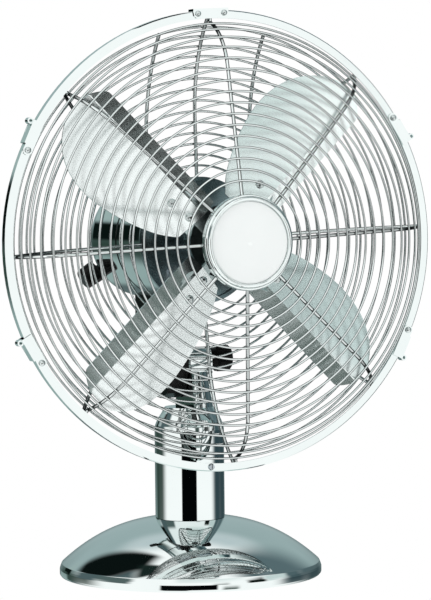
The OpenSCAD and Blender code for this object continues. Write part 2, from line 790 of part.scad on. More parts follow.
// A folded plate over the top of the hoop, held by two rivets.
module hook_plate() {
    color([0.8, 0.82, 0.82]) difference() {
        round_axis(hook_a) union() {
            translate([0, -hoop_y - hook_gap, 0]) rotate([90, 0, 0]) linear_extrude(hook_t) hull() {
                for (x = [-1, 1]) translate([x * hook_x, hoop_r - hook_in]) circle(r = 3.4);
                translate([-hook_l / 2, hoop_r - 0.6]) square([hook_l, 1.8]);
            }
            translate([-hook_l / 2, -hoop_y - hook_t, hoop_r + hook_lift])
                cube([hook_l, hoop_depth + 2 * hook_t, hook_t]);
            translate([-hook_l / 2, -hoop_y + hoop_depth + 0.1, hoop_r - 2.8])
                cube([hook_l, hook_t, 3.3 + hook_lift]);
        }
        for (x = [-1, 1]) face_hole(hook_a, x * hook_x, hoop_r - hook_in, hook_pin_d);
    }
}

module hook_rivets() {
    color([0.85, 0.85, 0.85]) for (x = [-1, 1]) round_axis(hook_a)
        translate([x * hook_x, -hoop_y - hook_t - 1.5 * hook_gap, hoop_r - hook_in]) rotate([90, 0, 0])
            union() {
                intersection() {
                    sphere(r = 2.3, $fn = 32);
                    translate([-3, -3, 0]) cube(6);
                }
                translate([0, 0, -2.6]) cylinder(d = hook_pin_d, h = 2.8);
            }
}

// A clip turns on its rivet. Its plate lies on the hoop's face and is folded over the
// rim and behind it; a curled lug at the free end is for the finger.
module clip(a) {
    round_axis(a) union() {
        difference() {
            translate([0, -hoop_y - 0.2, clip_r]) rotate([90, 0, 0]) linear_extrude(clip_t)
                union() {
                    circle(r = 3.6);
                    polygon([[0, -3.6], [clip_l, -3.9], [clip_l, rim_gap], [4, rim_gap],
                        [0, 3.6]]);
                }
            translate([0, -hoop_y - 3, clip_r]) rotate([-90, 0, 0])
                cylinder(d = clip_pin_d + 2 * run_fit, h = 6);
        }
        translate([4, -hoop_y - 0.2 - clip_t, clip_r + rim_gap])
            cube([clip_l - 4, hoop_depth + 0.3 + 2 * clip_t, clip_t]);
        translate([12, -hoop_y + hoop_depth + 0.1, clip_r - 1.4])
            cube([clip_l - 12, clip_t, rim_gap + 1.5 + clip_t]);
        translate([clip_l - 1.6, -hoop_y, clip_r + rim_gap + clip_t + 1.5])
            rotate([-90, 0, 0]) difference() {
                cylinder(r = 2.3, h = hoop_depth - 1);
                translate([0, 0, -1]) cylinder(r = 1.2, h = hoop_depth + 2);
            }
    }
}

clip_t = 1.1;
rim_gap = hoop_r - clip_r + 0.2;

module clip_left_high() { color([0.8, 0.82, 0.82]) clip(clip_as[0]); }
module clip_left_low() { color([0.8, 0.82, 0.82]) clip(clip_as[1]); }
module clip_right_high() { color([0.8, 0.82, 0.82]) clip(clip_as[2]); }
module clip_right_low() { color([0.8, 0.82, 0.82]) clip(clip_as[3]); }

module clip_rivets() {
    color([0.85, 0.85, 0.85]) for (a = clip_as) round_axis(a)
        translate([0, -hoop_y, clip_r]) rotate([90, 0, 0]) union() {
            translate([0, 0, 1.4]) intersection() {
                sphere(r = 2.4, $fn = 32);
                translate([-3, -3, 0]) cube(6);
            }
            translate([0, 0, -2.4]) cylinder(d = clip_pin_d, h = 4);
        }
}

module hoop_screw() {
    color([0.7, 0.7, 0.7]) round_axis(screw_a) translate([0, -hoop_y, hoop_r - screw_in])
        rotate([90, 0, 0]) difference() {
            union() {
                cylinder(d1 = 5.2, d2 = 4, h = 1.8);
                translate([0, 0, -3.4]) cylinder(d = screw_d, h = 3.8);
            }
            translate([-0.35, -3, 1.1]) cube([0.7, 6, 2]);
        }
}

module hoop_nut() {
    color([0.6, 0.6, 0.6]) round_axis(screw_a)
        translate([0, -hoop_y + hoop_t + 2.1, hoop_r - screw_in])
        rotate([90, 0, 0]) difference() {
            cylinder(d = 4.8, h = 2, $fn = 6);
            translate([0, 0, -1]) cylinder(d = screw_d + 2 * run_fit, h = 6);
        }
}

badge_y = -hoop_y - badge_reach;
bezel_back = -hoop_y - front_reach + rib_under - rib_w / 2 - weld - 0.2;
bezel_h = bezel_back - badge_y;

// The bezel is a cup rolled over at its front edge, with a second roll inside it.
module badge_bezel() {
    color([0.85, 0.87, 0.87]) on_axis(bezel_back) rotate_extrude($fn = 120)
        polygon([[badge_r - 7, 0], [badge_r - 1.2, 0], [badge_r - 0.3, 0.9],
            [badge_r, 2.2], [badge_r - 0.1, bezel_h - 4.6], [badge_r - 0.7, bezel_h - 3.4],
            [badge_r - 1.7, bezel_h - 2.9], [badge_r - 2.1, bezel_h - 1.5],
            [badge_r - 3, bezel_h - 0.3], [badge_r - 4.1, bezel_h - 0.3],
            [badge_r - 4.9, bezel_h - 1.3], [badge_r - 5, bezel_h - 4.8],
            [badge_r - 7, bezel_h - 4.8]]);
}

module badge_disc() {
    color([0.97, 0.97, 0.97]) on_axis(bezel_back - bezel_h + 4.75) rotate_extrude($fn = 120)
        polygon([[0, 0], [badge_r - 5.05, 0], [badge_r - 5.05, 2],
            [badge_r - 5.8, 2.5], [badge_r / 2, 2.9], [0, 3.1]]);
}

module badge_backing() {
    color([0.3, 0.3, 0.3]) on_axis(bezel_back + 2.6) difference() {
        cylinder(r = badge_r - 2.5, h = 2.55);
        translate([0, 0, -1]) cylinder(r = badge_r - 6, h = 2.6);
        for (k = [0:rib_count - 1]) rotate(360 / rib_count * k - guard_turn)
            translate([badge_r - 3, 0, 0]) rotate([0, 90, 0]) cylinder(d = rib_w + 0.4, h = 20);
    }
}

base_cover();
base_plate();
base_weight();
base_feet();
base_screws();
cord_grommet();
column_tube();
tie_rod();
tie_nut();
neck();
tilt_bolt();
tilt_washer();
tilt_knob();
knob_insert();
tilt_bracket();
pivot_bush();
gearbox_case();
pivot_pin();
pivot_clip();
motor_front();
motor_rear();
motor_band();
motor_screws();
stator_core();
stator_windings();
front_bearing();
rear_bearing();
clutch_rod();
clutch_knob();
speed_switch();
speed_knob();
rear_cap();
motor_shaft();
rotor_core();
blade_spider();
blades();
blade_rivets();
hub_nut();
rear_plate();
plate_screws();
rear_guard();
front_guard();
guard_hoop();
hook_plate();
hook_rivets();
clip_left_high();
clip_left_low();
clip_right_high();
clip_right_low();
clip_rivets();
hoop_screw();
hoop_nut();
badge_bezel();
badge_disc();
badge_backing();
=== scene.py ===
"""Looks of the oscillating desk fan: chrome, polished aluminium, black plastic and wire.

The fan's sizes are in millimetres and are turned to metres by mm(); the studio's sizes are
in metres. The fan blows towards -Y and its axis is AXIS_Z above the table.
"""
import json
import math

import bpy
import bmesh
from mathutils import Matrix, Vector


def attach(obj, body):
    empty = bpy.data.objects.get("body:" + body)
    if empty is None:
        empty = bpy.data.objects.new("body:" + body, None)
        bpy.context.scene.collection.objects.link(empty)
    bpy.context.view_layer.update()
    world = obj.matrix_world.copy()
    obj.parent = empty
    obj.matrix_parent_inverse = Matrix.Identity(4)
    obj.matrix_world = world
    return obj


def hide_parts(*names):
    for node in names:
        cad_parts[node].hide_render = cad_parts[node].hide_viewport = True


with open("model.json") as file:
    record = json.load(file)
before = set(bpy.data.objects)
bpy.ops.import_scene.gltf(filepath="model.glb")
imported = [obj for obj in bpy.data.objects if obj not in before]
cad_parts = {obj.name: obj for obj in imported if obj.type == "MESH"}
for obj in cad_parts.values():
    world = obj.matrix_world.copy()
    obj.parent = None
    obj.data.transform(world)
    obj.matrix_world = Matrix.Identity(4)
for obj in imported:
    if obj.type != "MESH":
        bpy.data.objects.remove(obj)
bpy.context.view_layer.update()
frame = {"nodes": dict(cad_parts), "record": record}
nodes = frame["nodes"]


def mm(value):
    return value * 0.001


# ------------------------------------------------------------------ sizes of the fan

AXIS_Z = 256
HOOP_Y, HOOP_R, HOOP_T, HOOP_DEPTH = -70, 170, 1, 7
HOOP_BACK = HOOP_Y + HOOP_DEPTH
BADGE_R = 35
REAR_PLATE_R = 48
RING_W, RIB_W, RIM_W = 1.7, 2.7, 3.2
RIB_COUNT, GUARD_TURN = 8, 3
STEEL_GAP = 0.02
SPOT_WELD = 0.25
RIB_UNDER = (RING_W + RIB_W) / 2 - SPOT_WELD

# Each guard is a dish: it starts at radius start and depth reach, falls by slope degrees to
# radius turn, and goes on from there in an arc to the hoop.
FRONT = dict(reach=39, slope=7.5, turn=HOOP_R - 42, arc=43, start=BADGE_R)
REAR = dict(reach=39.5, slope=4, turn=92, arc=112, start=REAR_PLATE_R)
RING_STEP = 8.1
FRONT_RINGS = [BADGE_R + 9.7 + RING_STEP * k for k in range(12)] + [
    HOOP_R - d for d in (28.2, 20.7, 14.6, 10.2)]
REAR_RINGS = [REAR_PLATE_R + 8.5 + RING_STEP * k for k in range(10)] + [
    HOOP_R - d for d in (32.5, 25.2, 18, 11.6)]


def arc_centre(shape):
    """Radius and depth of the middle of a guard's arc."""
    lean = math.radians(shape["slope"])
    at_turn = shape["reach"] - (shape["turn"] - shape["start"]) * math.tan(lean)
    return (shape["turn"] - shape["arc"] * math.sin(lean),
            at_turn - shape["arc"] * math.cos(lean))


def dish(shape, r):
    """Depth of a guard's wire surface at radius r."""
    if r < shape["turn"]:
        lean = math.radians(shape["slope"])
        return shape["reach"] - (r - shape["start"]) * math.tan(lean)
    mid_r, mid_d = arc_centre(shape)
    return mid_d + math.sqrt(shape["arc"] ** 2 - (r - mid_r) ** 2)


# ------------------------------------------------------------------ materials

def linear(code):
    """An sRGB hex colour as linear RGBA."""
    parts = [int(code[i:i + 2], 16) / 255 for i in (1, 3, 5)]
    return tuple(c / 12.92 if c <= 0.04045 else ((c + 0.055) / 1.055) ** 2.4
                 for c in parts) + (1.0,)


def add(tree, kind, settings=None, **inputs):
    """Adds a node; settings are its properties, inputs are values or sockets to link.

    An input is given by its name, or as i0, i1 and so on by its number.
    """
    node = tree.nodes.new(kind)
    for key, value in (settings or {}).items():
        setattr(node, key, value)
    for key, value in inputs.items():
        numbered = key[0] == "i" and key[1:].isdigit()
        socket = node.inputs[int(key[1:]) if numbered else key.replace("_", " ")]
        if isinstance(value, bpy.types.NodeSocket):
            tree.links.new(value, socket)
        else:
            socket.default_value = value
    return node


def empty_material(name):
    material = bpy.data.materials.new(name)
    material.use_nodes = True
    material.node_tree.nodes.clear()
    return material, material.node_tree


# How far a surface has turned from the eye where its painted shade on the flanks starts and
# where it is full: 0 faces the eye, and 1 is edge on.
PAINTED_SHADE_START, PAINTED_SHADE_FULL = 0.05, 0.42


def finish(name, colour, metallic, roughness, worn=0.0, grain_mm=20.0, bump_mm=0.0,
           bump_grain_mm=1.0, coat=0.0, stretch=(1, 1, 1), colour_two=None,
           flank_painted_shade=None, shine=0.5):
    """A material whose colour and gloss wander slowly and whose surface has a fine relief.

    grain_mm is the size of the patches of wear or tone; bump_mm is the height of the relief
    and bump_grain_mm its size. stretch draws the relief out along an axis. The colour of the
    flanks is painted shade: the base colour falls to it where the surface turns away from
    the eye, a painted reflection of a dark room. shine is the strength of the mirror image
    on what isn't metal.
    """
    material, tree = empty_material(name)
    shader = add(tree, "ShaderNodeBsdfPrincipled", Metallic=metallic,
                 Specular_IOR_Level=shine)
    out = add(tree, "ShaderNodeOutputMaterial")
    tree.links.new(shader.outputs["BSDF"], out.inputs["Surface"])
    where = add(tree, "ShaderNodeTexCoord").outputs["Object"]
    patches = add(tree, "ShaderNodeTexNoise", Vector=where, Scale=1000 / grain_mm,
                  Detail=3.0, Roughness=0.55)
    tone = add(tree, "ShaderNodeMix", {"data_type": "RGBA"}, i0=patches.outputs["Fac"],
               i6=linear(colour), i7=linear(colour_two or colour))
    gloss = add(tree, "ShaderNodeMapRange", Value=patches.outputs["Fac"], From_Min=0.3,
                From_Max=0.7, To_Min=max(0.0, roughness - worn), To_Max=roughness + worn)
    base = tone.outputs["Result"]
    if flank_painted_shade:
        # Painted shade: the base colour is darkened towards the colour of the flanks as the
        # surface turns from the eye, standing in for the dark room that the flanks would
        # mirror.
        turned_away = add(tree, "ShaderNodeLayerWeight", Blend=0.5).outputs["Facing"]
        painted_shade_fall = add(tree, "ShaderNodeMapRange", Value=turned_away, From_Min=PAINTED_SHADE_START,
                   From_Max=PAINTED_SHADE_FULL, To_Min=0.0, To_Max=1.0)
        base = add(tree, "ShaderNodeMix", {"data_type": "RGBA"},
                   i0=painted_shade_fall.outputs["Result"], i6=base, i7=linear(flank_painted_shade)).outputs[2]
    tree.links.new(base, shader.inputs["Base Color"])
    tree.links.new(gloss.outputs["Result"], shader.inputs["Roughness"])
    if coat:
        shader.inputs["Coat Weight"].default_value = coat
        shader.inputs["Coat Roughness"].default_value = 0.08
    if bump_mm:
        lay = add(tree, "ShaderNodeMapping", Vector=where, Scale=stretch)
        relief = add(tree, "ShaderNodeTexNoise", Vector=lay.outputs["Vector"],
                     Scale=1000 / bump_grain_mm, Detail=2.0)
        bump = add(tree, "ShaderNodeBump", Height=relief.outputs["Fac"], Strength=1.0,
                   Distance=mm(bump_mm))
        tree.links.new(bump.outputs["Normal"], shader.inputs["Normal"])
    return material


# Bright nickel-chrome plate on buffed steel: a clean mirror with a faint cold tint; the
# buffing leaves waves a few centimetres long and microns high.
chrome_plate = finish("chrome_plate_buffed", "#e9efee", 1.0, 0.035, worn=0.015,
                      grain_mm=45, bump_mm=0.02, bump_grain_mm=38, colour_two="#dfe7e6")
# The same plate on drawn wire, bright along its crown. Down the flanks its base colour is
# darkened by painted shade, a painted reflection of the unlit part of the room.
chrome_wire_painted_flanks = finish("chrome_plate_on_drawn_wire_painted_flank_shade", "#eef4f3", 1.0, 0.06, worn=0.02,
                     grain_mm=14, bump_mm=0.01, bump_grain_mm=2.2, colour_two="#e2eae9",
                     flank_painted_shade="#0d1413")
# Aluminium sheet, rolled and polished: pale and mirror-like, softer than chrome.
polished_aluminium = finish("aluminium_sheet_polished", "#f6fbfa", 1.0, 0.17, worn=0.02,
                            grain_mm=60, bump_mm=0.002, bump_grain_mm=30,
                            colour_two="#e6efee")
# Steel plate polished on a wheel, slightly grey.
polished_steel = finish("steel_plate_polished", "#b9c6c5", 1.0, 0.16, worn=0.05,
                        grain_mm=12, bump_mm=0.01, bump_grain_mm=3, colour_two="#9dacab")
# Zinc-plated fasteners: bright grey with a bluish bloom.
zinc_plate = finish("zinc_plate_on_steel", "#b5bcc0", 1.0, 0.2, worn=0.05, grain_mm=30,
                    bump_mm=0.003, bump_grain_mm=1.2, colour_two="#a4adb2")
# Aluminium rivets, pressed and tumbled bright.
rivet_metal = finish("aluminium_rivet_tumbled", "#dde3e2", 1.0, 0.12, worn=0.04,
                     grain_mm=2.5, bump_mm=0.01, bump_grain_mm=0.8, colour_two="#c3cccb")
# Black ABS, injection moulded and glossy, with a very fine mould texture.
black_abs = finish("black_abs_moulded", "#060707", 0.0, 0.3, worn=0.06, grain_mm=8,
                   bump_mm=0.01, bump_grain_mm=0.5, colour_two="#0b0c0c", shine=0.12)
# Gloss black paint stoved on a die casting: slight orange peel under the gloss.
black_stoved_paint = finish("black_paint_stoved", "#050606", 0.0, 0.24, worn=0.05,
                            grain_mm=15, bump_mm=0.02, bump_grain_mm=1.6, shine=0.25,
                            colour_two="#0a0b0b")
# Black paint on the pressed bottom plate, scuffed towards grey.
scuffed_paint = finish("black_paint_scuffed", "#17191a", 0.0, 0.45, worn=0.12,
                       grain_mm=25, bump_mm=0.04, bump_grain_mm=1.2, colour_two="#2a2d2e")
# Grey iron as cast in sand.
cast_iron = finish("grey_iron_sand_cast", "#3b3d3e", 0.6, 0.7, worn=0.1, grain_mm=9,
                   bump_mm=0.25, bump_grain_mm=1.4, colour_two="#2b2c2c")
# Moulded rubber: dull, with a dusty bloom.
moulded_rubber = finish("rubber_moulded", "#161616", 0.0, 0.62, worn=0.1, grain_mm=6,
                        bump_mm=0.03, bump_grain_mm=0.7, colour_two="#232323")
# Sintered bronze bushes and a turned brass insert.
bronze = finish("bronze_sintered", "#b08a4c", 1.0, 0.36, worn=0.08, grain_mm=3,
                bump_mm=0.03, bump_grain_mm=0.4, colour_two="#94703a")
# Enamelled copper wire, wound and varnished.
copper_winding = finish("copper_wire_varnished", "#a8562a", 0.8, 0.35, worn=0.08,
                        grain_mm=4, bump_mm=0.25, bump_grain_mm=0.9, coat=0.3,
                        colour_two="#7d3a18")
# Stacked electrical steel: half-millimetre sheets, edges in fine lines across the axis.
lamination = finish("electrical_steel_stacked", "#5a5f63", 1.0, 0.42, worn=0.08,
                    grain_mm=10, bump_mm=0.12, bump_grain_mm=9, stretch=(0.1, 18, 0.1),
                    colour_two="#44494c")
# Ground steel shaft.
ground_steel = finish("steel_shaft_ground", "#b4b8ba", 1.0, 0.18, worn=0.04, grain_mm=5,
                      bump_mm=0.006, bump_grain_mm=2, stretch=(1, 8, 1),
                      colour_two="#a1a6a8")
# White enamel on the badge blank, left bare; smooth with a faint orange peel.
white_enamel = finish("white_enamel_stoved", "#fbfdfc", 0.0, 0.22, worn=0.03,
                      grain_mm=22, bump_mm=0.006, bump_grain_mm=3, coat=0.3,
                      colour_two="#f6f9f8")

FINISHES = {
    "chrome": chrome_plate, "chromed_wire": chrome_wire_painted_flanks, "black_plate": scuffed_paint,
    "cast_iron": cast_iron, "rubber": moulded_rubber, "zinc_steel": zinc_plate,
    "bright_rivet": rivet_metal, "black_plastic": black_abs,
    "black_paint": black_stoved_paint, "brass": bronze, "lamination": lamination,
    "copper": copper_winding, "shaft_steel": ground_steel,
    "blade_aluminium": polished_aluminium, "spider_steel": polished_steel,
    "white_enamel": white_enamel, "backing_steel": scuffed_paint}

for part in frame["record"]["subparts"]:
    shown = nodes[part["node"]]
    shown.data.materials.clear()
    shown.data.materials.append(FINISHES[part["material_slot"]])


# ------------------------------------------------------------------ making pieces

def shade(mesh, smooth_deg):
    """Smooth shading, with an edge wherever faces meet at more than smooth_deg."""
    mesh.polygons.foreach_set("use_smooth", [True] * len(mesh.polygons))
    mesh.set_sharp_from_angle(angle=math.radians(smooth_deg))


def show(name, mesh, body, stands_for, smooth_deg):
    """An object that rides on a body and takes the place of the CAD nodes it stands for."""
    obj = bpy.data.objects.new(name, mesh)
    bpy.context.scene.collection.objects.link(obj)
    shade(mesh, smooth_deg)
    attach(obj, body)
    if stands_for:
        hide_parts(*stands_for)
    return obj


def piece(name, verts, faces, material, body, slot, stands_for=(), smooth_deg=40):
    """A shown mesh made from points in millimetres."""
    mesh = bpy.data.meshes.new(name)
    mesh.from_pydata([[mm(c) for c in v] for v in verts], [], faces)
    mesh.update()
    mesh.materials.append(material)
    return show(name, mesh, body, stands_for, smooth_deg)


# Outlines stay as they are at turns under SLIGHT_TURN, and a rounded corner takes up at
# most SIDE_SHARE of the sides that meet there.
SLIGHT_TURN = math.radians(4)
SIDE_SHARE = 0.45


def rounded(outline, radius, steps=5):
    """Rounds the corners of an open outline of (r, h) points by up to radius."""
    out = [outline[0]]
    for a, b, c in zip(outline, outline[1:], outline[2:]):
        pa, pb, pc = Vector(a), Vector(b), Vector(c)
        back, on = pa - pb, pc - pb
        turn = back.angle(-on)
        if turn < SLIGHT_TURN:
            out.append(b)
            continue
        reach = min(radius * math.tan(turn / 2), back.length * SIDE_SHARE,
                    on.length * SIDE_SHARE)
        start, end = pb + back.normalized() * reach, pb + on.normalized() * reach
        for i in range(steps + 1):
            t = i / steps
            out.append(tuple(start * (1 - t) ** 2 + pb * 2 * t * (1 - t) + end * t ** 2))
    out.append(outline[-1])
    return out


def turned(name, outline, material, body, slot, stands_for=(), along="up", at=(0, 0, 0),
           segments=192, smooth_deg=40):
    """Revolves a closed outline of (r, h) points, in order with the metal on its left.

    along "up" sets h along +Z from at; "front" sets it along -Y on the fan axis.
    """
    verts, faces = [], []
    n = len(outline)
    for k in range(segments):
        a = 2 * math.pi * k / segments
        for r, h in outline:
            x, z = r * math.cos(a), r * math.sin(a)
            verts.append((at[0] + x, at[1] + z, at[2] + h) if along == "up"
                         else (at[0] + x, at[1] - h, at[2] + z))
    for k in range(segments):
        nxt = (k + 1) % segments
        for i in range(n):
            j = (i + 1) % n
            faces.append((k * n + i, nxt * n + i, nxt * n + j, k * n + j))
    obj = piece(name, verts, faces, material, body, slot, stands_for, smooth_deg)
    close_up(obj, smooth_deg)
    return obj


# Points nearer than this, in millimetres, are one point.
DOUBLED = 0.0005


def close_up(obj, smooth_deg):
    """Merges doubled points on the axis and turns every face outwards."""
    work = bmesh.new()
    work.from_mesh(obj.data)
    bmesh.ops.remove_doubles(work, verts=work.verts, dist=mm(DOUBLED))
    bmesh.ops.dissolve_degenerate(work, edges=work.edges, dist=mm(DOUBLED))
    bmesh.ops.recalc_face_normals(work, faces=work.faces)
    work.to_mesh(obj.data)
    work.free()
    shade(obj.data, smooth_deg)


# ------------------------------------------------------------------ base and column

BASE_R, SKIRT_H, DOME_H, COVER_T = 100, 8.5, 45.4, 1.2
FLOOR_Z, LIP_Z = 1.5, 2.7
ROD_HOLE_R = 4.4
DOME_R, DOME_STEPS, FLAT_STEPS = BASE_R - 1.5, 60, 6
SHOULDER_H, DOME_POWER = 1, 2.6


def dome_z(r):
    """Height of the dome over the table at radius r: flat on top, and steep at the rim."""
    return DOME_H - (DOME_H - SKIRT_H - SHOULDER_H) * (r / BASE_R) ** DOME_POWER


dome_rs = [DOME_R * i / DOME_STEPS for i in range(1, DOME_STEPS + 1)]
outer = [(r, dome_z(r)) for r in dome_rs if r > ROD_HOLE_R] + [
    (BASE_R - 0.5, SKIRT_H - 0.1), (BASE_R, SKIRT_H - 1.8), (BASE_R, LIP_Z),
    (BASE_R - 1, FLOOR_Z)]
inner = [(BASE_R - 2.2, FLOOR_Z), (BASE_R - 1.3, LIP_Z), (BASE_R - 1.3, SKIRT_H - 2.2),
         (BASE_R - 1.8, SKIRT_H - 0.9)] + [
    (r - 0.4, dome_z(r) - COVER_T) for r in reversed(dome_rs[FLAT_STEPS:])]
cover = [(ROD_HOLE_R, dome_z(ROD_HOLE_R))] + rounded(outer, 1.6) + inner + [
    (ROD_HOLE_R, dome_z(ROD_HOLE_R) - COVER_T)]
turned("domed_base", cover, chrome_plate, "stand", "chrome", ["base_cover"], segments=256,
       smooth_deg=50)

COLUMN_R, COLUMN_BORE_R, COLUMN_TOP = 26.5, 25, 112
foot = dome_z(COLUMN_BORE_R) + STEEL_GAP
turned("column_tube_plated", [(COLUMN_R, foot), (COLUMN_R, COLUMN_TOP),
                              (COLUMN_BORE_R, COLUMN_TOP), (COLUMN_BORE_R, foot)],
       chrome_plate, "stand", "chrome", ["column_tube"])

# ------------------------------------------------------------------ motor housing

MOTOR_R, MOTOR_Y0, SHELL_L = 46, -22, 52
SHELL_T, SHELL_FRONT_T, SHAFT_HOLE_R = 1.4, 1.6, 8

# The front shell: a straight can with a rolled front edge.
can = [(MOTOR_R, 0), (MOTOR_R, SHELL_L - 5), (MOTOR_R - 1.6, SHELL_L - 1.6),
       (MOTOR_R - 5, SHELL_L), (SHAFT_HOLE_R, SHELL_L),
       (SHAFT_HOLE_R, SHELL_L - SHELL_FRONT_T), (MOTOR_R - 5.4, SHELL_L - SHELL_FRONT_T),
       (MOTOR_R - SHELL_T, SHELL_L - 5), (MOTOR_R - SHELL_T, 0)]
turned("motor_front_shell", rounded(can, 4), chrome_plate, "head", "chrome",
       ["motor_front"], along="front", at=(0, MOTOR_Y0 + SHELL_L, AXIS_Z))

# ------------------------------------------------------------------ badge

# A rolled rim in front of the ribs; top is the height of its roll, and the badge lies in it.
BEZEL_GAP = 0.2
BEZEL_BACK = HOOP_Y - FRONT["reach"] + RIB_UNDER - RIB_W / 2 - STEEL_GAP - BEZEL_GAP
BEZEL_FRONT = HOOP_Y - 49
rim, top = BADGE_R, BEZEL_BACK - BEZEL_FRONT
bezel = rounded([(rim - 7, 0), (rim - 1.2, 0), (rim - 0.3, 0.9), (rim, 2.2),
                 (rim - 0.1, top - 4.6), (rim - 0.7, top - 3.4), (rim - 1.7, top - 2.9),
                 (rim - 2.1, top - 1.5), (rim - 3, top - 0.3), (rim - 4.1, top - 0.3),
                 (rim - 4.9, top - 1.3), (rim - 5, top - 4.8), (rim - 7, top - 4.8)], 0.9)
turned("badge_bezel_rolled", bezel, chrome_plate, "head", "chrome", ["badge_bezel"],
       along="front", at=(0, BEZEL_BACK, AXIS_Z))

# ------------------------------------------------------------------ blades

# On a blade, u is the distance from the fan's axis and v the distance from the blade's
# middle line towards its round side. Past CORNER_U the straight side turns in by CORNER_CUT.
# The face is pitched about PITCH_V, and is dished from DISH_U on.
BLADE_ANGLES = (45, 135, 225, 315)
BLADE_Y, BLADE_T = -68, 1.2
ROOT_U, END_U = 27, 151.4
EDGE_V, CREASE_V, STRIP_SLOPE, STRIP_LEAST = -14, -1, -0.2, 0.8
CORNER_U, CORNER_CUT, CORNER_POWER = 140, 13, 1.6
PITCH_ROOT, PITCH_TIP, PITCH_END_U, PITCH_V = 0.46, 0.34, 154, 15
DISH_U, DISH_RUN, DISH_V, DISH_RATE = 54, 36, 18, 0.0022
ROUND_SIDE = [(27, 22), (33, 26.5), (40, 31), (50, 35.5), (62, 40), (76, 43.8), (90, 46.4),
              (104, 47), (118, 45), (130, 40.6), (140, 33.6), (147, 25.6), (151.4, 17)]


def pitch(u):
    return PITCH_ROOT + (PITCH_TIP - PITCH_ROOT) * (u - ROOT_U) / (PITCH_END_U - ROOT_U)


def sheet_y(u, v):
    """Depth of the blade sheet: a pitched face, dished outwards, with its edge folded."""
    grow = max(0, min(1, (u - DISH_U) / DISH_RUN))
    w = max(v, CREASE_V)
    y = BLADE_Y + (w - PITCH_V) * pitch(u) + DISH_RATE * grow * (w - DISH_V) ** 2
    return y + (v - w) * STRIP_SLOPE


def round_side(u):
    """Catmull-Rom curve through ROUND_SIDE."""
    rows = ROUND_SIDE
    k = max(i for i in range(len(rows) - 1) if rows[i][0] <= u or i == 0)
    p = [rows[max(0, k - 1)], rows[k], rows[k + 1], rows[min(len(rows) - 1, k + 2)]]
    t = (u - p[1][0]) / (p[2][0] - p[1][0])
    gap = p[2][0] - p[1][0]
    m1 = (p[2][1] - p[0][1]) / (p[2][0] - p[0][0]) * gap
    m2 = (p[3][1] - p[1][1]) / (p[3][0] - p[1][0]) * gap
    return ((2 * t ** 3 - 3 * t ** 2 + 1) * p[1][1] + (t ** 3 - 2 * t ** 2 + t) * m1
            + (3 * t ** 2 - 2 * t ** 3) * p[2][1] + (t ** 3 - t ** 2) * m2)


# The grid of points on a blade: rows from root to tip, with FACE_STEPS between the crease
# and the round side. The crease is a bend half a millimetre wide on each side.
ROW_STEPS, FACE_STEPS, BEND_V = 72, 22, 0.5


def blade_row(u):
    """Places along one row, from the straight side over the crease to the round side."""
    low = EDGE_V
    if u >= CORNER_U:
        low += CORNER_CUT * ((u - CORNER_U) / (END_U - CORNER_U)) ** CORNER_POWER
    fold = max(CREASE_V, low + STRIP_LEAST)
    face = fold + BEND_V
    return [low, (low + fold) / 2, fold - BEND_V, fold, face] + [
        face + (round_side(u) - face) * j / FACE_STEPS for j in range(1, FACE_STEPS + 1)]


def blade_faces(rows, columns):
    """Faces of one blade: front and back skins on one grid, joined round the edge."""
    def at(i, j, side):
        return side * rows * columns + i * columns + j

    faces = []
    for i in range(rows - 1):
        for j in range(columns - 1):
            faces.append((at(i, j, 0), at(i, j + 1, 0), at(i + 1, j + 1, 0),
                          at(i + 1, j, 0)))
            faces.append((at(i, j, 1), at(i + 1, j, 1), at(i + 1, j + 1, 1),
                          at(i, j + 1, 1)))
        for j in (0, columns - 1):
            faces.append((at(i, j, 0), at(i + 1, j, 0), at(i + 1, j, 1), at(i, j, 1)))
    for i in (0, rows - 1):
        for j in range(columns - 1):
            faces.append((at(i, j, 0), at(i, j + 1, 0), at(i, j + 1, 1), at(i, j, 1)))
    return faces


def blade_mesh():
    """Four stamped blades, turned about the fan's axis."""
    us = [ROOT_U + (END_U - ROOT_U) * i / ROW_STEPS for i in range(ROW_STEPS + 1)]
    grid = [(u, blade_row(u)) for u in us]
    one_blade = blade_faces(len(grid), len(grid[0][1]))
    verts, faces = [], []
    for turn in BLADE_ANGLES:
        a = math.radians(turn)
        first = len(verts)
        for side in (-1, 1):
            for u, row in grid:
                for v in row:
                    verts.append((-v * math.cos(a) + u * math.sin(a),
                                  sheet_y(u, v) + side * BLADE_T / 2,
                                  AXIS_Z + v * math.sin(a) + u * math.cos(a)))
        faces += [tuple(first + corner for corner in face) for face in one_blade]
    return verts, faces


BLADE_SMOOTH_DEG = 28
stamped = piece("blades_stamped", *blade_mesh(), polished_aluminium, "rotor",
                "blade_aluminium", ["blades"], smooth_deg=BLADE_SMOOTH_DEG)
close_up(stamped, BLADE_SMOOTH_DEG)

# ------------------------------------------------------------------ guard wires

# Straight lengths in a wire's round section, and round a ring.
SECTION_STEPS, RING_STEPS = 12, 180
WIRE_SMOOTH_DEG = 50


def tree_named(name, inputs):
    """A Geometry Nodes tree with one mesh in, one out, and named number inputs."""
    tree = bpy.data.node_groups.new(name, "GeometryNodeTree")
    face = tree.interface
    face.new_socket("Geometry", in_out="INPUT", socket_type="NodeSocketGeometry")
    for label in inputs:
        face.new_socket(label, in_out="INPUT", socket_type="NodeSocketFloat")
    face.new_socket("Geometry", in_out="OUTPUT", socket_type="NodeSocketGeometry")
    return tree, add(tree, "NodeGroupInput"), add(tree, "NodeGroupOutput")


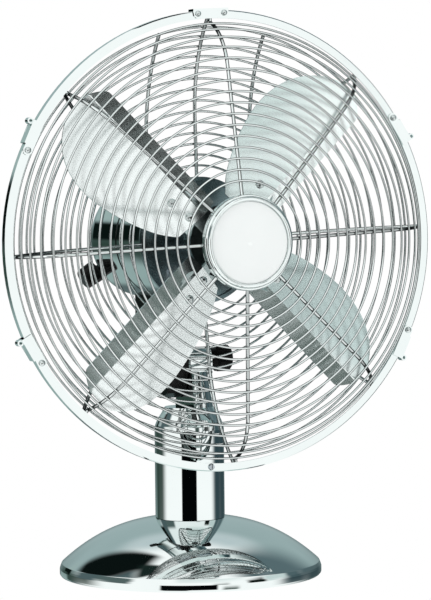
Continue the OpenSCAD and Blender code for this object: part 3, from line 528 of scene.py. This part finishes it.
def wires(name, tree, seeds, width, stands_for=(), **inputs):
    """Runs a tree on loose seed points and keeps its wires on the head as a plain mesh."""
    mesh = bpy.data.meshes.new(name + "_seed")
    mesh.from_pydata([[mm(c) for c in v] for v in seeds], [], [])
    seed = bpy.data.objects.new(name + "_seed", mesh)
    bpy.context.scene.collection.objects.link(seed)
    modifier = seed.modifiers.new("wires", "NODES")
    modifier.node_group = tree
    values = {"Wire Radius": mm(width / 2), **inputs}
    for item in tree.interface.items_tree:
        if item.item_type == "SOCKET" and item.in_out == "INPUT" and item.name in values:
            modifier[item.identifier] = values[item.name]
    depsgraph = bpy.context.evaluated_depsgraph_get()
    made = bpy.data.meshes.new_from_object(seed.evaluated_get(depsgraph),
                                           depsgraph=depsgraph)
    bpy.data.objects.remove(seed)
    made.name = name
    return show(name, made, "head", stands_for, WIRE_SMOOTH_DEG)


def ring_tree(material):
    """Rings on the fan axis: each seed point (radius, y, 0) becomes one closed wire ring."""
    tree, start, end = tree_named("wire_rings", ["Wire Radius"])
    hoop = add(tree, "GeometryNodeCurvePrimitiveCircle", Resolution=RING_STEPS, Radius=1.0)
    spot = add(tree, "GeometryNodeInputPosition")
    parts = add(tree, "ShaderNodeSeparateXYZ", i0=spot.outputs[0])
    size = add(tree, "ShaderNodeCombineXYZ", X=parts.outputs["X"], Y=parts.outputs["X"],
               Z=parts.outputs["X"])
    place = add(tree, "ShaderNodeCombineXYZ", X=0.0, Y=parts.outputs["Y"], Z=mm(AXIS_Z))
    # The radius is kept before the points move to the axis.
    kept = add(tree, "GeometryNodeStoreNamedAttribute", {"data_type": "FLOAT_VECTOR",
               "domain": "POINT"}, Geometry=start.outputs["Geometry"], Name="ring_size",
               Value=size.outputs[0])
    centred = add(tree, "GeometryNodeSetPosition", Geometry=kept.outputs["Geometry"],
                  Position=place.outputs[0])
    recall = add(tree, "GeometryNodeInputNamedAttribute", {"data_type": "FLOAT_VECTOR"},
                 Name="ring_size")
    spread = add(tree, "GeometryNodeInstanceOnPoints", Points=centred.outputs["Geometry"],
                 Instance=hoop.outputs["Curve"], Rotation=(math.pi / 2, 0, 0),
                 Scale=recall.outputs["Attribute"])
    real = add(tree, "GeometryNodeRealizeInstances", Geometry=spread.outputs["Instances"])
    gauge = add(tree, "GeometryNodeCurvePrimitiveCircle", Resolution=SECTION_STEPS,
                Radius=start.outputs["Wire Radius"])
    wire = add(tree, "GeometryNodeCurveToMesh", Curve=real.outputs["Geometry"],
               Profile_Curve=gauge.outputs["Curve"])
    paint = add(tree, "GeometryNodeSetMaterial", Geometry=wire.outputs["Mesh"],
                Material=material)
    tree.links.new(paint.outputs["Geometry"], end.inputs["Geometry"])
    return tree


def rib_tree(material):
    """Ribs: the seed points of one rib, in order, become a wire, repeated round the axis."""
    tree, start, end = tree_named("wire_ribs", ["Wire Radius", "Count", "Turn"])
    dots = add(tree, "GeometryNodeMeshToPoints", Mesh=start.outputs["Geometry"])
    line = add(tree, "GeometryNodePointsToCurves", Points=dots.outputs["Points"])
    around = add(tree, "GeometryNodePoints", Count=start.outputs["Count"])
    index = add(tree, "GeometryNodeInputIndex")
    share = add(tree, "ShaderNodeMath", {"operation": "DIVIDE"}, i0=index.outputs[0],
                i1=start.outputs["Count"])
    whole = add(tree, "ShaderNodeMath", {"operation": "MULTIPLY"}, i0=share.outputs[0],
                i1=2 * math.pi)
    turned_by = add(tree, "ShaderNodeMath", {"operation": "ADD"}, i0=whole.outputs[0],
                    i1=start.outputs["Turn"])
    angle = add(tree, "ShaderNodeCombineXYZ", X=0.0, Y=turned_by.outputs[0], Z=0.0)
    spread = add(tree, "GeometryNodeInstanceOnPoints", Points=around.outputs[0],
                 Instance=line.outputs["Curves"], Rotation=angle.outputs[0])
    lift = add(tree, "GeometryNodeTranslateInstances",
               Instances=spread.outputs["Instances"], Translation=(0, 0, mm(AXIS_Z)),
               Local_Space=False)
    real = add(tree, "GeometryNodeRealizeInstances", Geometry=lift.outputs["Instances"])
    gauge = add(tree, "GeometryNodeCurvePrimitiveCircle", Resolution=SECTION_STEPS,
                Radius=start.outputs["Wire Radius"])
    wire = add(tree, "GeometryNodeCurveToMesh", Curve=real.outputs["Geometry"],
               Profile_Curve=gauge.outputs["Curve"], Fill_Caps=True)
    paint = add(tree, "GeometryNodeSetMaterial", Geometry=wire.outputs["Mesh"],
                Material=material)
    tree.links.new(paint.outputs["Geometry"], end.inputs["Geometry"])
    return tree


rings = ring_tree(chrome_wire_painted_flanks)
ribs = rib_tree(chrome_wire_painted_flanks)
STRAIGHT_STEPS, ARC_STEPS, STAY_STEPS = 6, 36, 30


def rib_line(shape, r_from, end_deg, plane, sign):
    """Centre line of a rib, a wire's distance inside the rings: straight, then an arc."""
    lean = math.radians(shape["slope"])
    mid_r, mid_d = arc_centre(shape)
    bend = shape["arc"] - RIB_UNDER
    straight = (shape["turn"] - r_from) / math.cos(lean)
    path = []
    for i in range(STRAIGHT_STEPS):
        t = straight * (1 - i / STRAIGHT_STEPS)
        path.append((mid_r + bend * math.sin(lean) - t * math.cos(lean),
                     mid_d + bend * math.cos(lean) + t * math.sin(lean)))
    for i in range(ARC_STEPS + 1):
        a = lean + (math.radians(end_deg) - lean) * i / ARC_STEPS
        path.append((mid_r + bend * math.sin(a), mid_d + bend * math.cos(a)))
    return [(0, plane + sign * d, r) for r, d in path]


# The front ribs end just behind the hoop's face, and the rear ribs on a rim wire there.
SEAT_Y = HOOP_Y + HOOP_T + RIB_W / 2 + STEEL_GAP
RIM_R = HOOP_R - HOOP_T - RIM_W / 2 - STEEL_GAP
front_drop = HOOP_Y - SEAT_Y - arc_centre(FRONT)[1]
front_end = math.degrees(math.acos(front_drop / (FRONT["arc"] - RIB_UNDER)))
rear_run = RIM_R - RIM_W / 2 - arc_centre(REAR)[0]
rear_end = math.degrees(math.asin(rear_run / (REAR["arc"] - RIB_UNDER)))
RIB_TUCK, PLATE_GAP, HOOP_GAP = 2, 0.3, 0.4
front_line = rib_line(FRONT, BADGE_R - RIB_TUCK, front_end, HOOP_Y, -1)
front_line.append((0, SEAT_Y, HOOP_R - HOOP_T - HOOP_GAP))
rear_line = rib_line(REAR, REAR_PLATE_R + PLATE_GAP, rear_end, HOOP_BACK, 1)
all_round = dict(Count=RIB_COUNT, Turn=math.radians(-GUARD_TURN))

wires("front_ring_wires", rings, [(r, HOOP_Y - dish(FRONT, r), 0) for r in FRONT_RINGS],
      RING_W, ["front_guard"])
wires("front_rib_wires", ribs, front_line, RIB_W, **all_round)
wires("rear_ring_wires", rings, [(r, HOOP_BACK + dish(REAR, r), 0) for r in REAR_RINGS],
      RING_W, ["rear_guard"])
wires("rear_rim_wire", rings, [(RIM_R, SEAT_Y + (RIB_W + RIM_W) / 2 + STEEL_GAP, 0)], RIM_W)
wires("rear_rib_wires", ribs, rear_line, RIB_W, **all_round)

# Two upright stay wires behind the upper rear rings, one each side of the middle rib.
STAY_X, STAY_FOOT, STAY_TURN, STAY_ARC, STAY_BEND = 42, 27, 84, 120, 36
STAY_BEHIND = 4.4
rear_lean = math.radians(REAR["slope"])
stay_d = REAR["reach"] - (STAY_TURN - STAY_FOOT) * math.tan(rear_lean) + STAY_BEHIND
stay_mid = (STAY_TURN - STAY_ARC * math.sin(rear_lean),
            stay_d - STAY_ARC * math.cos(rear_lean))
stay_line = []
for i in range(STRAIGHT_STEPS):
    z = STAY_FOOT + (STAY_TURN - STAY_FOOT) * i / STRAIGHT_STEPS
    stay_line.append((HOOP_BACK + stay_d + (STAY_TURN - z) * math.tan(rear_lean), z))
for i in range(STAY_STEPS + 1):
    bend = rear_lean + math.radians(STAY_BEND) * i / STAY_STEPS
    stay_line.append((HOOP_BACK + stay_mid[1] + STAY_ARC * math.cos(bend),
                      stay_mid[0] + STAY_ARC * math.sin(bend)))
for side, x in (("left", -STAY_X), ("right", STAY_X)):
    wires("rear_stay_wire_" + side, ribs, [(x, y, z) for y, z in stay_line], RIB_W,
          Count=1, Turn=0.0)

# ------------------------------------------------------------------ studio and camera

# The camera's azimuth, and the middle of the fan in metres.
CAMERA_DEG = -22.94
MIDDLE = Vector((0, 0, 0.24))


def round_middle(azimuth_deg, elevation_deg, distance):
    """A point round the middle of the fan; azimuth 0 is in front of it."""
    a, e = math.radians(azimuth_deg), math.radians(elevation_deg)
    return MIDDLE + distance * Vector((math.cos(e) * math.sin(a),
                                       -math.cos(e) * math.cos(a), math.sin(e)))


# The tent of cloths and flags that the chrome mirrors: each row is an azimuth from the
# camera, an elevation, the half width and half height, the softness of the edge (all in
# degrees) and a colour. Azimuth 180 is behind the fan. Rows lie over those before them.
CLOTHS = [
    (180, -14, 60, 26, 14, "#5d6d6e"),
    (180, 24, 60, 26, 14, "#a3b7b8"),
    (180, 50, 30, 9, 9, "#c6d4d7"),
    (128, 38, 17, 38, 11, "#5f7378"),
    (104, 24, 13, 42, 9, "#566b70"),
    (122, -7, 36, 12, 14, "#33464c"),
    (-124, -6, 32, 14, 14, "#33463f"),
    (-80, 20, 24, 11, 5, "#5a6b6a"),
    (-150, -18, 12, 8, 4, "#9ab0ae"),
    (-140, 17, 9, 5, 2, "#a4b8b6"),
    (-138, 5, 7, 6, 1.5, "#0b1513"),
    (-106, 30, 13, 34, 6, "#55676a"),
    (-130, 47, 15, 21, 4, "#0c1413"),
    (-112, 69, 12, 6, 3, "#1b2a27"),
    (62, 84, 66, 7, 3, "#06090a"),
    (20, 40, 34, 8, 6, "#dfecea"),
    (83, 20, 12, 9, 4, "#d6e4e3"),
    (61, 16, 9, 10, 3, "#121b18"),
    (-1.5, -6, 24.5, 11, 1.5, "#030506"),
    (-14, -26, 12, 12, 3, "#0a0f0f"),
    (35, -20, 7, 7, 3, "#43544f"),
    (27, 11, 7, 7, 3, "#43544f"),
]
CLOTH_LIGHT = 1.15
TENT_R = 4.0


def tent_material():
    """A glow whose colour goes by its direction from the fan, with soft-edged cloths."""
    material, tree = empty_material("studio_tent")
    degrees = 180 / math.pi
    where = add(tree, "ShaderNodeTexCoord").outputs["Object"]
    way = add(tree, "ShaderNodeVectorMath", {"operation": "NORMALIZE"}, i0=where)
    part = add(tree, "ShaderNodeSeparateXYZ", i0=way.outputs["Vector"])
    ahead = add(tree, "ShaderNodeMath", {"operation": "MULTIPLY"}, i0=part.outputs["Y"],
                i1=-1.0)
    around = add(tree, "ShaderNodeMath", {"operation": "ARCTAN2"}, i0=part.outputs["X"],
                 i1=ahead.outputs[0])
    azimuth = add(tree, "ShaderNodeMath", {"operation": "MULTIPLY"}, i0=around.outputs[0],
                  i1=degrees)
    rise = add(tree, "ShaderNodeMath", {"operation": "ARCSINE"}, i0=part.outputs["Z"])
    elevation = add(tree, "ShaderNodeMath", {"operation": "MULTIPLY"}, i0=rise.outputs[0],
                    i1=degrees)
    colour = (CLOTH_LIGHT, CLOTH_LIGHT, CLOTH_LIGHT, 1.0)
    for az, el, half_az, half_el, soft, code in CLOTHS:
        off_az = add(tree, "ShaderNodeMath", {"operation": "SUBTRACT"},
                     i0=azimuth.outputs[0], i1=CAMERA_DEG + az)
        wrapped = add(tree, "ShaderNodeMath", {"operation": "WRAP"}, i0=off_az.outputs[0],
                      i1=180.0, i2=-180.0)
        off_el = add(tree, "ShaderNodeMath", {"operation": "SUBTRACT"},
                     i0=elevation.outputs[0], i1=float(el))
        edges = []
        for offset, half in ((wrapped, half_az), (off_el, half_el)):
            size = add(tree, "ShaderNodeMath", {"operation": "ABSOLUTE"},
                       i0=offset.outputs[0])
            edge = add(tree, "ShaderNodeMapRange", {"interpolation_type": "SMOOTHSTEP"},
                       Value=size.outputs[0], From_Min=float(half - soft),
                       From_Max=float(half + soft), To_Min=1.0, To_Max=0.0)
            edges.append(edge.outputs["Result"])
        cover = add(tree, "ShaderNodeMath", {"operation": "MULTIPLY"}, i0=edges[0],
                    i1=edges[1])
        tint = add(tree, "ShaderNodeMix", {"data_type": "RGBA"}, i0=cover.outputs[0],
                   i6=colour, i7=linear(code))
        colour = tint.outputs[2]
    glow = add(tree, "ShaderNodeEmission", Color=colour, Strength=1.0)
    out = add(tree, "ShaderNodeOutputMaterial")
    tree.links.new(glow.outputs[0], out.inputs["Surface"])
    return material


def tent():
    """A cloth globe round the fan that only mirrors see."""
    work = bmesh.new()
    bmesh.ops.create_uvsphere(work, u_segments=48, v_segments=24, radius=TENT_R)
    mesh = bpy.data.meshes.new("studio_tent")
    work.to_mesh(mesh)
    work.free()
    mesh.polygons.foreach_set("use_smooth", [True] * len(mesh.polygons))
    obj = bpy.data.objects.new("studio_tent", mesh)
    bpy.context.scene.collection.objects.link(obj)
    obj.location = MIDDLE
    mesh.materials.append(tent_material())
    obj.visible_camera = False
    obj.visible_diffuse = False
    obj.visible_shadow = False
    obj.visible_transmission = False


tent()


def paper_material():
    """White paper that the camera and mirrors see as an even white glow, and other rays as
    matte paper.
    """
    material, tree = empty_material("white_paper_sweep")
    paper = add(tree, "ShaderNodeBsdfPrincipled", Base_Color=linear("#fafafa"),
                Roughness=0.9)
    rays = add(tree, "ShaderNodeLightPath")
    seen = add(tree, "ShaderNodeMath", {"operation": "MAXIMUM"},
               i0=rays.outputs["Is Camera Ray"], i1=rays.outputs["Is Glossy Ray"])
    glow = add(tree, "ShaderNodeEmission", Color=(1, 1, 1, 1), Strength=1.0)
    blend = add(tree, "ShaderNodeMixShader", i0=seen.outputs[0], i1=paper.outputs["BSDF"],
                i2=glow.outputs[0])
    out = add(tree, "ShaderNodeOutputMaterial")
    tree.links.new(blend.outputs[0], out.inputs["Surface"])
    return material


FLOOR_HALF = 6
floor_mesh = bpy.data.meshes.new("studio_floor")
floor_mesh.from_pydata([(FLOOR_HALF * x, FLOOR_HALF * y, 0)
                        for x, y in ((-1, -1), (1, -1), (1, 1), (-1, 1))], [],
                       [(0, 1, 2, 3)])
floor_mesh.materials.append(paper_material())
floor = bpy.data.objects.new("studio_floor", floor_mesh)
bpy.context.scene.collection.objects.link(floor)
floor.visible_glossy = False

# The camera and mirrors see a white room, and the fan is lit softly from all round.
world = bpy.data.worlds.new("studio_world")
bpy.context.scene.world = world
world.use_nodes = True
sky = world.node_tree
sky.nodes.clear()
paths = add(sky, "ShaderNodeLightPath")
mirror = add(sky, "ShaderNodeMath", {"operation": "MAXIMUM"},
             i0=paths.outputs["Is Camera Ray"], i1=paths.outputs["Is Glossy Ray"])
plain = add(sky, "ShaderNodeMath", {"operation": "MAXIMUM"}, i0=mirror.outputs[0],
            i1=paths.outputs["Is Transmission Ray"])
soft = add(sky, "ShaderNodeBackground", Color=linear("#f2f6f6"), Strength=0.55)
white = add(sky, "ShaderNodeBackground", Color=(1, 1, 1, 1), Strength=1.0)
both = add(sky, "ShaderNodeMixShader", i0=plain.outputs[0], i1=soft.outputs[0],
           i2=white.outputs[0])
sky_out = add(sky, "ShaderNodeOutputWorld")
sky.links.new(both.outputs[0], sky_out.inputs["Surface"])


def softbox(name, azimuth, elevation, distance, size, power):
    """A lamp of a width and height that faces the fan and isn't mirrored in it."""
    light = bpy.data.lights.new(name, "AREA")
    light.shape = "RECTANGLE"
    light.size, light.size_y = size
    light.energy = power
    obj = bpy.data.objects.new(name, light)
    place = round_middle(azimuth, elevation, distance)
    turn = (MIDDLE - place).to_track_quat("-Z", "Y")
    obj.matrix_world = Matrix.Translation(place) @ turn.to_matrix().to_4x4()
    bpy.context.scene.collection.objects.link(obj)
    obj.visible_glossy = False


softbox("softbox_left", CAMERA_DEG - 50, 25, 1.8, (0.9, 1.2), 9)
softbox("softbox_right", CAMERA_DEG + 48, 30, 1.9, (0.9, 1.2), 8)
softbox("softbox_top", CAMERA_DEG, 75, 1.7, (1.2, 1.0), 7)

# The camera stands in front of the fan, looks slightly down, and is then swung round it by
# CAMERA_DEG. VIEW_H is the height that it takes in at the fan's axis.
DISTANCE, CAMERA_X, CAMERA_Z = 2.0, 0.0022, 0.3003
DOWN, PAN, ROLL = (math.radians(d) for d in (2.585, 0.541, -0.584))
VIEW_H = 0.45666
camera_data = bpy.data.cameras.new("camera")
camera_data.sensor_width = 36
camera_data.lens = camera_data.sensor_width * DISTANCE / VIEW_H
camera_data.clip_end = 50
camera = bpy.data.objects.new("camera", camera_data)
bpy.context.scene.collection.objects.link(camera)
bpy.context.scene.camera = camera
forward = Vector((math.sin(PAN) * math.cos(DOWN), math.cos(PAN) * math.cos(DOWN),
                  -math.sin(DOWN)))
right = Vector((math.cos(PAN), -math.sin(PAN), 0))
up = right.cross(forward)
right_rolled = right * math.cos(ROLL) + up * math.sin(ROLL)
up_rolled = up * math.cos(ROLL) - right * math.sin(ROLL)
orbit = Matrix.Rotation(math.radians(CAMERA_DEG), 4, "Z")
axes = Matrix((right_rolled, up_rolled, -forward)).transposed().to_4x4()
axes.translation = Vector((CAMERA_X, -DISTANCE, CAMERA_Z))
camera.matrix_world = orbit @ axes

scene = bpy.context.scene
scene.view_settings.view_transform = "Standard"
